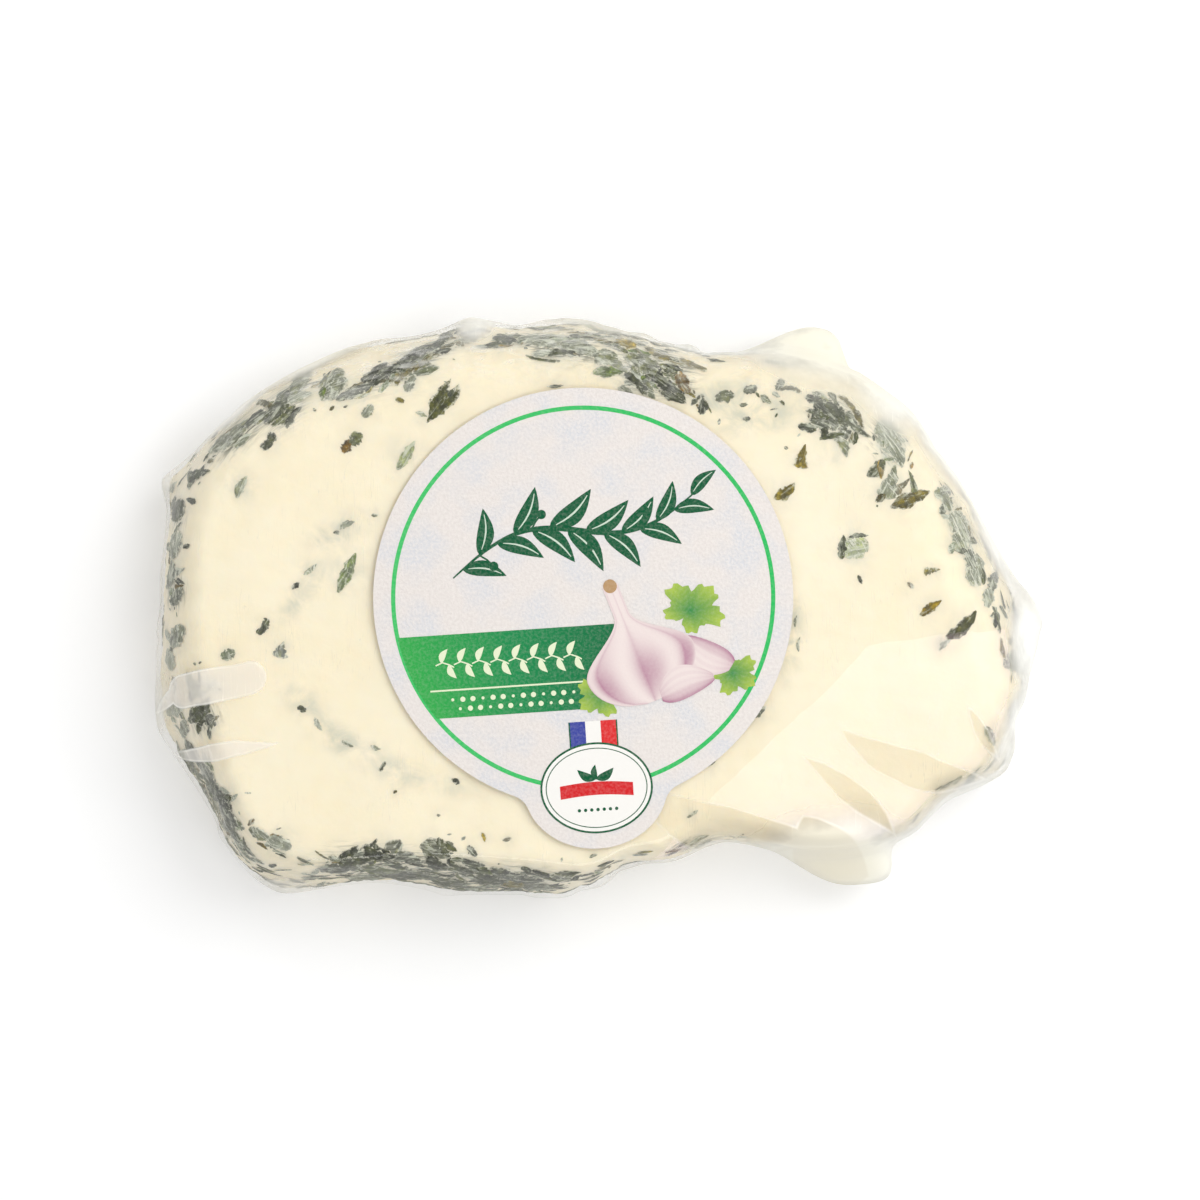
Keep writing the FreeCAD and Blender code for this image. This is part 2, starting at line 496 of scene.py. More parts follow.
def read_rows(text):
    """Rows of numbers and words, one row to a line."""
    rows = [line.split() for line in text.splitlines() if line]
    return [[word if word.isalpha() else float(word) for word in row] for row in rows]


# ---------------------------------------------------------------- herbs

HUES = {
    name: srgb(*rgb) for name, rgb in dict(
        grey=(92, 96, 60), dark=(56, 60, 36), olive=(112, 102, 36), yellow=(152, 132, 42),
        brown=(120, 92, 28), pale=(144, 154, 104), green=(88, 106, 38), moss=(68, 76, 24),
        tawny=(120, 100, 36), deep=(50, 54, 32), ivy=(82, 84, 34), slate=(130, 136, 138),
        gold=(134, 118, 42), straw=(146, 130, 40), khaki=(128, 116, 48), amber=(168, 142, 26),
        umber=(82, 82, 42),
    ).items()
}
COMMON_HUES = [HUES[name] for name in "grey grey dark dark moss olive green tawny".split()]
DEEP_HUES = [HUES[name] for name in "deep dark moss dark grey".split()]
SHAPES = ("leaf", "leaf", "blob", "strip", "wedge")


def width_profile(kind, s):
    """Half width of a flake along its length, from 0 to 1."""
    if kind == "leaf":
        return max(math.sin(math.pi * min(1, s**0.85)), 0) ** 0.75
    if kind == "strip":
        return min(1, 8 * s + 0.3, 8 * (1 - s) + 0.3)
    if kind == "wedge":
        return min(1, 9 * s + 0.2) * (1 - s) ** 0.8 + 0.05
    if kind == "heart" and s < 0.45:
        return math.sqrt(max(1 - (2.1 * s - 0.95) ** 2, 0))
    if kind == "heart":
        return 1.0 - ((s - 0.45) / 0.55) ** 1.2
    return math.sqrt(max(1 - (2 * s - 1) ** 2, 0))


LEVEL_SIDE = 0.3  # below this slope a flake's turn counts from +X
LIFT, EDGE_LIFT = 0.09, 0.02  # how far a flake's middle and its edges stand up


class Flakes:
    """Many flakes draped on the cheese, gathered for one joined mesh."""

    def __init__(self, seed, fine):
        self.rng = random.Random(seed)
        self.fine = fine
        self.verts, self.faces, self.spots = [], [], []
        self.tints, self.veils, self.rims, self.grain = [], [], [], []

    def drape(self, centre, normal, turn, length, width, kind, tint, veil, lift, plan=False):
        """Lays one flake on the cheese, square to it, or from above with its plan shape kept."""
        rng = self.rng
        if plan:
            normal = UP
        side = UP.cross(normal)
        if side.length < LEVEL_SIDE:
            side = Vector((1, 0, 0)) - normal * normal.x
        side.normalize()
        ahead = normal.cross(side)
        c, s = aim(turn)
        along, across = side * c + ahead * s, ahead * c - side * s
        long_steps = 13 if self.fine and length > 1.6 else (7 if length > 1.2 else 5)
        wide_steps = 7 if self.fine and width > 1.0 else (5 if width > 0.9 else 3)
        curl = 0 if kind in ("heart", "blob") else rng.uniform(-0.25, 0.25)
        seed = rng.uniform(0, 50)
        above, far = (25, 50) if plan else (3, 8)
        first, last = len(self.verts), centre
        shade = rng.uniform(0.55, 1.35)
        jag = [[rng.uniform(0.66, 1.12) for _ in range(long_steps)] for _ in (0, 1)]
        for i in range(long_steps):
            t = i / (long_steps - 1)
            half = width / 2 * width_profile(kind, min(max(t, 0.02), 0.98))
            for j in range(wide_steps):
                q = 2 * j / (wide_steps - 1) - 1
                v = q * half * (jag[0][i] if q < 0 else jag[1][i])
                u = (t - 0.5) * length
                if kind == "heart":
                    u += 0.5 * length * abs(q) ** 1.5 * min(t - 0.5, 0)
                v += curl * length * 0.5 * ((2 * t - 1) ** 2 - 0.4)
                start = centre + along * u + across * v
                hit, out, _, _ = cheese_bvh.ray_cast(start + normal * above, -normal, far)
                if hit is None:
                    hit = last if plan else start
                out = out if plan and out else normal
                last = hit
                drop = hit.z - centre.z if plan else 0
                crinkle = 0.05 * math.sin(seed + 2.6 * u + 3.1 * v)
                crinkle *= math.cos(seed * 0.7 + 3.7 * v - u)
                edge = max(abs(q) ** 2, abs(2 * t - 1) ** 3)
                rise = lift * (1 - 0.8 * edge) + crinkle * (1 - edge)
                self.verts.append(tuple(hit + out * (EDGE_LIFT + max(rise, 0))))
                patch = math.sin(seed + 1.9 * u + 2.3 * v + drop)
                patch *= math.cos(1.3 * seed + 2.7 * v - 1.1 * u)
                warmth = (1.12, 1.1, 0.78) if patch > 0.25 else (1.0, 1.0, 1.0)
                bright = [min(1, k * shade * (1 + 0.4 * patch) * w) for k, w in zip(tint, warmth)]
                self.tints.append((*bright, 1))
                self.veils.append(min(1, max(0, veil + rng.uniform(-0.1, 0.1))))
                self.rims.append(edge)
                self.grain.append((u + seed, v + seed * 0.7, seed + drop))
        for i in range(long_steps - 1):
            for j in range(wide_steps - 1):
                a = first + i * wide_steps + j
                self.faces.append((a, a + wide_steps, a + wide_steps + 1, a + 1))
        strength = (0.25 + 0.35 * veil) * (1.0 if centre.z > 15 else 0.5)
        self.spots.append((centre, 0.45 * length, strength))

    def on_face(self, x, y, turn, length, width, kind, tint, veil, lift=LIFT, plan=False):
        hit, normal, _, _ = cheese_bvh.ray_cast(Vector((x, y, 40)), -UP, 60)
        if hit is not None and normal.z > 0.05:
            side = UP.cross(normal)
            if side.length >= LEVEL_SIDE and not plan:
                turn -= math.degrees(math.atan2(side.y, side.x))
            self.drape(hit, normal, turn, length, width, kind, tint, veil, lift, plan)

    def on_side(self, bearing, height, turn, length, width, kind, tint, veil):
        out = Vector((*aim(bearing), 0))
        hit, normal, _, _ = cheese_bvh.ray_cast(out * 90 + UP * height, -out, 90)
        if hit is not None:
            self.drape(hit, normal, turn, length, width, kind, tint, veil, LIFT)

    def finish(self, name, mat):
        piece = add_object(name, self.verts, self.faces)
        add_value(piece, "tint", self.tints)
        add_value(piece, "veil", self.veils)
        add_value(piece, "rim", self.rims)
        add_value(piece, "grain", self.grain)
        add_value(piece, "flow", rim_flow(self.verts))
        piece.data.materials.append(mat)
        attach(piece, ROOT)


herb_mat = material("herbs")
grain, flow = attribute("grain", "Vector"), attribute("flow", "Vector")
mottle = noise(grain, 1.1, 4.0, 0.7)
streak = noise(scaled(grain, 0.35, 1.7, 1.0), 1.0, 4.0, 0.65, 0.8)
flecks = noise(grain, 1.9, 3.0, 0.7)
rubbed = noise(scaled(flow, 0.45, 0.45, 2.3), 1.0, 6.0, 0.75, 0.8)
tint, veil = attribute("tint", "Color"), attribute("veil")
deep = mix_colour(1.0, tint, (0.4, 0.4, 0.28), "MULTIPLY")
leaf = mix_colour(span(mottle, 0.42, 0.58), deep, tint)
warm = mix_colour(1.0, tint, (1.6, 1.5, 0.7), "MULTIPLY")
dusty = span(veil, 0.05, 0.35, 0.3, 0.9)
ragged = plus(attribute("rim"), span(flecks, 0.3, 0.7, -0.55, 0.3))
for share, colour in (
    (span(mottle, 0.55, 0.66, 0.0, 0.8), warm),
    (times(span(streak, 0.55, 0.62), dusty), srgb(214, 216, 194)),
    (times(span(flecks, 0.6, 0.66), dusty), srgb(222, 222, 202)),
    (times(veil, span(streak, 0.3, 0.6, 0.3, 1.0), True), srgb(192, 196, 178)),
    (times(span(rubbed, 0.53, 0.58), span(veil, 0.1, 0.5, 0.0, 0.9)), srgb(222, 222, 205)),
    (span(ragged, 0.5, 1.05), srgb(230, 225, 203)),
):
    leaf = mix_colour(share, leaf, colour)
fill(shader, Base_Color=leaf, Roughness=span(mottle, 0.3, 0.7, 0.5, 0.8), Specular_IOR_Level=0.12,
     Normal=bump(streak, 0.5, 0.0004))

# Single flakes on the face: x, y, turn, length, width, shape, colour, veil.
SINGLE = """
-20.5 26 235 5.2 3.3 heart ivy 0
-19.1 27.3 62 2.6 1.2 leaf dark 0.1
-31.2 21.8 40 2.2 1.9 blob grey 0.1
-32.3 20.9 60 2 1.6 blob brown 0
-24.7 19.7 58 4.4 1.5 leaf pale 0.25
-42.4 21.5 55 2.7 1.4 strip dark 0.15
-45.9 15.7 65 3.2 1.3 leaf grey 0.6
-32.3 4.6 66 5.6 1.9 leaf green 0.25
-24.2 28.9 60 2.3 1.5 blob grey 0.45
-25.5 26.8 -20 1.2 0.8 strip olive 0.1
-22.7 25 -20 1.6 0.7 leaf grey 0.7
-29.6 25.4 50 2 1.5 blob grey 0.5
-34.2 25.8 40 0.9 0.6 blob olive 0.2
-38.9 2.9 35 1.3 0.9 blob dark 0.1
-37 5 40 2.2 0.8 leaf grey 0.8
-32.3 10.8 25 2.2 1 leaf grey 0.65
-33.6 9.8 0 0.9 0.7 blob dark 0.3
-28.7 12 0 0.9 0.6 blob grey 0.4
-43 -2.4 58 2.4 1.1 strip dark 0.1
-47.6 -5.9 20 2 1.6 blob green 0.3
-40.7 -5.3 80 2.2 2.2 wedge slate 0.25
-38.1 -12.9 -30 1.3 1 blob dark 0.15
-36 -14.9 -60 2 0.8 leaf grey 0.8
-32.2 -17.4 -25 1.8 0.8 leaf grey 0.5
-28.6 -17.9 -20 1.4 0.7 leaf grey 0.6
-27.7 -20.3 60 1.5 0.6 strip dark 0.1
-26.1 -23.6 45 0.6 0.5 blob olive 0
-18.3 -22.2 -30 1.2 0.9 blob dark 0.1
-20.5 -26.6 0 0.5 0.4 blob dark 0.1
-14.7 -29.4 -70 1.3 0.6 leaf yellow 0.1
-11.7 -29.7 15 1.2 0.7 blob brown 0.4
-5.5 28.6 5 2.2 0.5 leaf dark 0.3
13.5 25.9 80 2 1.5 blob dark 0.1
16.3 27.3 10 2.7 1.8 blob grey 0.3
19.6 28.2 20 1.9 1.3 blob dark 0.2
21.6 26.9 -40 1.8 1 leaf grey 0.3
19.1 24.4 0 1.1 0.8 blob dark 0.25
23.4 28.8 60 1.7 1.2 blob grey 0.4
24.7 28.2 -8 3.2 0.7 strip olive 0.25
27 23.3 -10 2.6 1.4 blob dark 0.15
26.3 19.6 78 3.2 2.2 wedge gold 0
24.1 15 38 3.4 1.9 leaf straw 0
33 7.9 10 3.7 3.4 blob pale 0.55
31.5 7.9 84 3.2 1.5 leaf dark 0.1
33.4 9.3 8 2.8 0.8 leaf dark 0.2
37.6 16.3 70 4.6 3.4 wedge grey 0.45
40.2 14.1 22 5.6 2.2 leaf khaki 0.05
33.7 3.7 -65 1.3 0.6 leaf dark 0.1
43 4.9 10 2.2 1.3 wedge olive 0.2
40.2 3 -45 1.1 0.7 blob brown 0.4
42.8 0.1 35 3.4 1.4 leaf amber 0
46.9 -2.3 42 5.4 2 leaf umber 0.05
44.6 -4.6 42 2.2 0.9 leaf grey 0.8
40.4 18.4 70 1 0.6 blob brown 0.3
48.8 4.7 80 3.8 3 blob grey 0.6
44.5 15 20 2.4 2 blob grey 0.45
44.4 12.8 80 1.6 1.2 blob dark 0.3
46.5 11 -60 3.6 2.8 blob grey 0.6
46.7 8.6 -70 3 2.4 blob grey 0.5
48.2 6.2 -70 3.2 2 blob dark 0.35
50.4 1.4 80 2.6 1.8 blob grey 0.7
51.2 3.6 70 3.2 1.6 leaf dark 0.3
54.3 -7.4 -35 4.2 3 wedge grey 0.6
54 -13.1 55 2.6 1.8 blob olive 0.2
50.6 -16.4 -62 3 1.3 leaf grey 0.45
53 -20.6 65 2.2 1 leaf grey 0.4
48.2 -22.2 60 2 1.2 blob grey 0.4
44.9 -25.2 55 1.8 1.2 blob grey 0.5
20.6 -13.4 40 2.6 1.2 leaf grey 0.3
14.6 -19.8 40 1.8 0.8 leaf dark 0.3
25.4 -1.6 80 1.6 0.5 leaf grey 0.6
25.8 -4.6 85 1.9 0.5 leaf grey 0.65
-50 19 30 1.1 0.7 blob olive 0.2
-52.4 13.9 -20 1.5 1 blob dark 0.2
-53 8 20 1.1 0.7 blob dark 0.1
-44.6 -27.5 45 1.2 0.8 blob brown 0.2
12.2 -26.4 35 1.8 0.6 leaf grey 0.3
-0.6 -31.8 20 1.2 0.6 leaf grey 0.3
"""
# Large leaves of the coat that lap over on the face, in the same terms.
LAPPED = """
-38.3 29.6 62 6.4 2.6 leaf grey 0.3
-41.2 25.9 55 5.6 2.8 leaf dark 0.15
-43 26.4 -20 2.5 1 strip olive 0.1
-38.6 27.2 20 4 1.6 leaf grey 0.7
-33.9 28.9 70 4.4 3 blob grey 0.4
-31 28 24 6 1.6 leaf dark 0.25
-27.2 30.2 33 5.5 1.8 leaf dark 0.1
-23.8 32.4 36 6.5 2 leaf dark 0.1
-20.6 34.4 42 4.5 1.6 strip dark 0.2
-24.8 30.1 40 4 0.9 strip olive 0.05
-22.4 31.6 38 4.5 0.8 strip olive 0.1
-47.2 22.2 38 7.4 2.4 leaf grey 0.3
-44.8 24 38 5 1.4 strip dark 0.2
-51.6 17.3 20 3.4 2.2 wedge moss 0.05
-54.4 12.7 70 3.2 2.6 blob moss 0.05
-12 34.7 -8 3.4 1.6 leaf dark 0.2
-7.5 34.4 -12 6 2 leaf grey 0.45
-2.2 33.4 -16 6 2.4 leaf grey 0.4
2 31.6 -30 5 2.4 wedge grey 0.3
3.6 34.2 -15 3 1.8 blob yellow 0.1
6 31.2 -35 6 3.2 leaf grey 0.2
8.6 29.2 -38 6 3.4 wedge dark 0.05
11 29 -60 3.4 2 leaf brown 0.1
7.8 32.8 -28 4.2 1.3 leaf olive 0.05
12.2 31.4 -24 4 0.8 strip yellow 0.2
5 29 -42 4.5 1.2 strip dark 0.1
9.6 27.2 -24 4 1.2 leaf dark 0.1
30.2 25.2 -38 5.5 2.6 leaf dark 0.15
33.2 23.4 -42 4.6 2.4 wedge grey 0.25
32.8 25.4 -55 5.5 0.9 strip olive 0.05
28.6 23.9 -20 3 1.6 blob dark 0.2
31.6 20.9 -70 3 1.6 leaf grey 0.4
37.4 22.4 -55 4.4 3.2 blob grey 0.6
38.4 20 -60 4 2.4 leaf grey 0.6
47 10.2 -65 4.4 2 leaf grey 0.5
45 13.8 -70 2.8 1.6 blob grey 0.5
-54.6 8.2 75 3.8 2.2 blob grey 0.5
-55.2 4.4 80 4 1.6 leaf dark 0.4
-54.4 1.6 60 2.8 1.8 blob dark 0.3
-54.3 -3.6 62 3.4 2.4 blob grey 0.35
-55.4 -6.6 100 3 1.8 leaf grey 0.7
-52.2 -9.8 120 3.6 1.6 leaf grey 0.55
-54.9 -13.2 20 2.8 2 blob grey 0.5
-51.2 -13.2 48 4.4 2.6 leaf moss 0.05
-53.6 -15.6 80 2.6 1.6 blob grey 0.4
-52.6 -18.6 -58 4 1.4 leaf dark 0.15
-49.8 -22.8 -60 4.6 2 leaf dark 0.1
-47.6 -26.6 -58 4.2 1.6 strip dark 0.2
-43.6 -29 -30 3 1.6 blob grey 0.4
-33.6 -33.4 5 5 1.8 leaf dark 0.15
-20.4 -32.8 -20 4 1.6 wedge dark 0.1
-25.6 -34.6 -5 6 1.8 leaf dark 0.1
-19.4 -35.4 -8 5.4 1.8 leaf dark 0.15
-12 -34.2 -20 4.2 1.8 blob dark 0.1
-8.2 -36 -4 5 1.6 leaf dark 0.2
-30.2 -34.9 2 5 1.6 leaf grey 0.3
-50.6 -21.4 -58 5 1.6 leaf dark 0.2
-48.8 -24.8 -55 5.5 2.2 leaf dark 0.15
-50.8 -25.6 -60 5 1.4 strip dark 0.1
-47.2 -28.6 -58 4.4 1.6 leaf dark 0.2
-41 -30.2 -20 3.4 2.2 blob grey 0.6
-31.4 -32.6 8 5 1.6 leaf dark 0.1
-28 -31.6 -10 5 2.2 wedge dark 0.05
-24.6 -32.2 -8 4.4 1.8 leaf dark 0.25
-27.8 -33.8 -6 6 1.6 leaf moss 0.1
-22.6 -34.4 -12 5 1.8 leaf dark 0.15
-17.6 -33.6 -16 4 2 wedge dark 0.1
-14 -35.2 -8 5 2 leaf dark 0.1
-9.4 -34.9 -8 5 1.8 leaf dark 0.15
-10.8 -35.8 -5 4 1.4 leaf olive 0.1
-4.8 -34.6 -8 3 0.9 strip dark 0.25
-16.2 -31.2 -50 1.8 1 blob dark 0.25
"""
# Where the herb coat shows from above: x, y, half length, half width, turn, number of flakes,
# their length, veil.
PATCHES = read_rows("""
-46.5 22.4 4.2 1.4 38 12 3.4 0.45
-40.6 25.9 2.6 1.8 50 12 3.2 0.3
-38 29 2 1.4 60 7 3 0.45
-34.2 28.9 1.8 1.8 70 9 3 0.4
-30.6 28.2 3 0.8 22 8 2.8 0.3
-23.6 32 5.6 1.4 33 26 3.6 0.3
-20 34.4 2.6 1 30 7 2.4 0.55
-12 34.6 1.8 0.9 -5 7 2.4 0.35
-15.2 34 1 0.6 20 3 1.6 0.6
-5 34 5.2 1.7 -14 26 3.6 0.6
1 31.8 3 1.2 -25 8 3.2 0.5
3.6 33.8 2.6 1.4 -20 12 2.6 0.25
6.4 30.4 3.4 2.4 -38 32 3.2 0.26
10.2 29.3 2 1.6 -35 10 2.8 0.26
9.4 32 3.2 0.9 -30 10 2.8 0.35
12.4 26.7 1.6 0.7 -30 6 2 0.2
21 26.4 4 1.6 -15 8 1.3 0.35
28.6 26.4 2.4 1 -20 6 2.2 0.6
30.4 24.6 2.8 1.8 -35 28 2.8 0.22
32 20.8 1.4 1.4 70 6 2.2 0.45
37.2 21.8 1.9 2.2 10 18 2.6 0.75
38.6 19.2 1.4 1.2 30 5 2 0.7
37.9 15.8 1.8 2 60 8 3 0.3
44.9 13.8 1 1.8 10 7 1.8 0.6
47.2 10 1.2 2.6 22 13 2.4 0.6
49.4 6 1.2 2 10 6 2 0.65
-52 17.2 2 1.2 25 9 2.4 0.2
-54.8 12.6 1.2 2 10 10 2.6 0.3
-55.6 7.8 0.9 2.8 0 9 2.6 0.5
-54.6 2.2 1.2 1.8 -10 10 2.6 0.3
-55.2 -4.2 1.2 2 20 9 2.6 0.5
-55.4 -9 1 2.2 10 7 2.4 0.6
-51.4 -10.2 1.6 1.8 45 8 2.6 0.6
-50.6 -14.2 1.8 1.2 50 11 2.6 0.15
-54.4 -14.6 1.6 1.6 0 9 2.4 0.5
-52.6 -21 1.5 3.2 30 28 3.4 0.24
-49.6 -26.2 1.7 4 34 46 3.4 0.24
-46.8 -24.6 1 1.4 30 5 2 0.5
-46.6 -30 1.2 2 35 8 2.6 0.4
-41.2 -30.2 2.2 1.4 -10 9 2.2 0.65
-37.4 -32.6 3.4 1.6 -10 9 2 0.75
-29.4 -32.8 5 1.8 -4 40 3.2 0.18
-23.4 -33.6 4 1.9 -8 34 3.2 0.2
-17 -34.2 3.2 1.6 -12 26 2.8 0.2
-19 -31.4 1.6 0.8 -40 5 2 0.3
-9.6 -35 4.2 1.5 -8 40 2.8 0.15
-3.8 -34.4 1.4 0.6 -10 4 1.6 0.5
0.4 -33.8 1.8 0.5 32 5 2.2 0.3
6.6 -31.4 2.2 0.6 20 6 1.8 0.45
12.8 -30.4 3 0.7 8 11 2.2 0.4
19 -29.6 3 0.5 5 6 1.6 0.6
""")

single = Flakes(11, fine=True)
for table, lift in ((SINGLE, 0.12), (LAPPED, 0.2)):
    for *place, kind, colour, haze in read_rows(table):
        single.on_face(*place, kind, HUES[colour], haze, lift, plan=True)

coat = Flakes(23, fine=False)
rng = random.Random(41)


def any_flake(low, high, size=1.0):
    """Length, width and shape of a flake of the coat."""
    kind = rng.choice(SHAPES)
    length = size * rng.uniform(low, high)
    width = length * (rng.uniform(0.12, 0.25) if kind == "strip" else rng.uniform(0.35, 0.65))
    return length, width, kind


COAT_SHARE, FRESH = 0.65, 0.22  # share of each patch's flakes that is laid, veil of a fresh patch
for x, y, long, wide, turn, count, size, haze in PATCHES:
    c, s = aim(turn)
    for _ in range(int(count * COAT_SHARE)):
        u, v = rng.gauss(0, 0.55) * long, rng.gauss(0, 0.6) * wide
        flake = any_flake(0.7, 1.45, size)
        stray = rng.gauss(0, 22 if haze > FRESH else 50)
        coat.on_face(x + u * c - v * s, y + u * s + v * c, turn + stray, *flake,
                     rng.choice(COMMON_HUES if haze > FRESH else DEEP_HUES),
                     haze * rng.choice((0.2, 0.4, 1.0, 1.7)))

# How densely the side is coated, and where its upper part is bare: bearing, density, spread.
COAT = ((80, 0.8, 30), (125, 0.8, 30), (172, 0.8, 25), (212, 1.0, 26), (248, 1.0, 24),
        (285, 0.25, 14), (0, 0.6, 30), (40, 0.6, 25))
BARE = ((138, 1.0, 24), (178, 1.1, 30), (40, 1.0, 30), (345, 0.9, 25), (305, 1.0, 26))
SIDE_TRIES, SIDE_HEIGHTS, UPPER_SIDE, DEEP_SIDE, CRUMBS = 2100, (0.8, 17.5), 8, (205, 268), 150


def densest(bearing, table):
    return max(float(swell(np.float64(bearing), *row)) for row in table)


for _ in range(SIDE_TRIES):
    bearing = rng.uniform(0, 360)
    if rng.random() > densest(bearing, COAT):
        continue
    height = rng.uniform(*SIDE_HEIGHTS)
    if height > UPPER_SIDE and rng.random() < densest(bearing, BARE):
        continue
    flake = any_flake(1.4, 3.6)
    coat.on_side(bearing, height, rng.gauss(0, 40), *flake,
                 rng.choice(DEEP_HUES if DEEP_SIDE[0] < bearing < DEEP_SIDE[1] else COMMON_HUES),
                 rng.choice((0.05, 0.15, 0.3, 0.6)))

crumbs = Flakes(37, fine=False)
for _ in range(CRUMBS):
    x, y, long, wide, *_ = rng.choice(PATCHES)
    x, y = x + rng.gauss(0, long * 0.9), y + rng.gauss(0, wide * 1.3)
    crumbs.on_face(x, y, rng.uniform(0, 180), rng.uniform(0.35, 0.9), rng.uniform(0.25, 0.6),
                   "blob", rng.choice(COMMON_HUES), rng.uniform(0.1, 0.6), lift=0.05)
for flakes, name in ((single, "herb_flakes"), (coat, "herb_coat"), (crumbs, "herb_crumbs")):
    flakes.finish(name, herb_mat)

# Herb juice in the cheese: grey-green round each flake, dark where the coat is smeared, and faint
# where the spiral of herbs lies just under the face.
SPIRAL = read_rows("""
-33 10 5 1.8 25 0.55
-38 2 5 1.6 55 0.55
-38 -12 4 1.8 -40 0.5
-33 -17 4.5 1.8 -35 0.55
-26 -21 5.5 1.8 -20 0.5
-18 -23 4 1.5 -10 0.35
24.6 -3 1.6 6 0 0.8
21 25 6 2.6 10 0.6
16.5 27.5 4.5 2.2 10 0.7
30 20 3 2 0 0.3
""")
THICK_PATCH = 9  # flakes above which a patch is smeared too
STAIN_FADE, NEAREST_FLAKES = 0.7, 4
spots = single.spots + coat.spots
around = KDTree(len(spots))
for i, (centre, _, _) in enumerate(spots):
    around.insert(centre, i)
around.balance()
stains = []
for vertex in cheese.data.vertices:
    stain = 0.0
    for _, i, distance in around.find_n(vertex.co / MM, NEAREST_FLAKES):
        _, reach, strength = spots[i]
        stain = max(stain, strength * math.exp(-((distance / (reach + STAIN_FADE)) ** 2)))
    stains.append(stain)
co = np.array([v.co for v in cheese.data.vertices]) / MM
x, y, z = co.T
face_side = np.clip((z - 8) / 6, 0, 1)
thick = [(px, py, 1.15 * long, 1.25 * wide, turn, 1.0)
         for px, py, long, wide, turn, count, *_ in PATCHES if count > THICK_PATCH]
add_value(cheese, "stain", np.maximum(np.array(stains), blobs(x, y, SPIRAL) * face_side))
add_value(cheese, "smeared", blobs(x, y, thick) * face_side)
add_value(cheese, "flow", rim_flow(co))

cheese_mat = material("cheese")
spot = object_space()
fine = noise(spot, 420, 4.0)
wisps = noise(spot, 260, 4.0, 0.65, 0.5)
rubbed = noise(scaled(attribute("flow", "Vector"), 0.28, 0.28, 1.5), 1.0, 5.0, 0.7, 0.7)
smeared = attribute("smeared")
paste = mix_colour(span(noise(spot, 45, 2.0), 0.3, 0.7), srgb(252, 240, 212), srgb(250, 236, 203))
for share, colour in (
    (span(fine, 0.35, 0.75, 0.0, 0.25), srgb(255, 247, 228)),
    (times(attribute("stain"), span(wisps, 0.38, 0.62)), srgb(176, 186, 172)),
    (times(smeared, 0.45), srgb(206, 208, 194)),
    (times(smeared, span(rubbed, 0.48, 0.6)), srgb(84, 88, 68)),
):
    paste = mix_colour(share, paste, colour)
fill(shader, Base_Color=paste, Roughness=span(fine, 0.3, 0.7, 0.42, 0.6), Specular_IOR_Level=0.3,
     Subsurface_Weight=0.25, Subsurface_Radius=(1.0, 0.8, 0.5), Subsurface_Scale=0.002,
     Normal=bump(fine, 0.25, 0.0003))
cheese.data.materials.append(cheese_mat)


# ---------------------------------------------------------------- film

FILM_BOTTOM, FILM_TOP = 0.02, 20.96
FILM_BEARINGS, FILM_ROWS = 720, (9, 24, 76)


def film_at(bearing, height, inset, down):
    return inset_reach(bearing, inset, down) + film_reach(bearing, height) + pleats(bearing, height)


bearings = np.arange(FILM_BEARINGS) * 360.0 / FILM_BEARINGS
film = slice_surface("film", bearings, *FILM_ROWS, film_at, FILM_BOTTOM, FILM_TOP)
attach(film, ROOT)

# Where the film is milky, and where what shows through it is cream: soft spots, as for blobs.
MILKY = read_rows("""
29 34.2 11 5.6 -15 1
37.8 28.4 8 4.2 -38 0.92
46.2 20.2 10 3.4 -54 0.88
52.5 9.4 8 3.2 -62 0.85
57 -3 7 3.8 85 1
54.6 -15.5 7 3.2 70 0.75
46.5 -26 9.5 3.2 33 0.75
31.5 -34 11 7.6 -5 1.3
39.5 -31.2 5 3 48 0.85
20 -31 8 1 0 0.4
-57.6 -13 4 1.8 80 0.45
-57 15.6 3 1.6 60 0.45
-16 37.4 2.6 3 0 0.75
4 36.8 13 1.2 -6 0.5
17 33.6 8 1.2 0 0.5
-36 33.2 15 1.7 26 0.85
-47.5 25.2 5 1.2 38 0.7
-41.5 -36.4 5 1.8 4 0.45
""")
CREAMY = read_rows("""
30.5 -32.5 8 6 -12 1
-30 35 22 3 22 0.8
4 37 13 2 -6 0.6
30 33.6 14 6 -25 1
46 20 16 5 -54 0.5
""")
NEAR_HERBS = ((82, 1.2, 38), (132, 1, 28), (205, 0.4, 24), (248, 0.15, 26))
# Where the painted sheen at a grazing view is left out: bearing, share, spread, bluntness.
CLEAR_SIDE = (232, 0.95, 36, 4)
co = np.array([v.co for v in film.data.vertices]) / MM
x, y, z = co.T
bearing = np.degrees(np.arctan2(y, x)) % 360
from_cheese = np.hypot(x, y) - slice_reach(bearing)
out_share = np.clip((from_cheese + 0.6) / 1.8, 0, 1)
milky = blobs(x, y, MILKY)
rim = np.clip((from_cheese + shoulder_width(bearing) + 3.0) / 5.0, 0, 1)
near_herbs = sum(swell(bearing, *row, 3.0) for row in NEAR_HERBS)
for name, values in (
    ("haze", np.clip(0.01 + milky + 0.03 * out_share, 0, 1.3)),
    ("creamy", blobs(x, y, CREAMY)),
    ("smear", rim * np.clip(near_herbs, 0, 1)),
    ("painted_sheen_share", 1 - swell(bearing, *CLEAR_SIDE)),
    ("top_side", np.clip((z - 15.0) / 2.0, 0, 1)),
    ("upper", np.clip((z - 6.0) / 6.0, 0, 1)),
    ("wall", np.clip((18.0 - z) / 4.0, 0, 1) * np.clip(1 - 1.2 * milky, 0, 1)),
    ("flow", rim_flow(co)),
):
    add_value(film, name, values)

film_mat = material("film")
film_mat.surface_render_method = "BLENDED"
spot = object_space()
flat = plan_view(spot, 1.6)
top_side, high, creamy = attribute("top_side"), attribute("upper"), attribute("creamy")
flow = attribute("flow", "Vector")
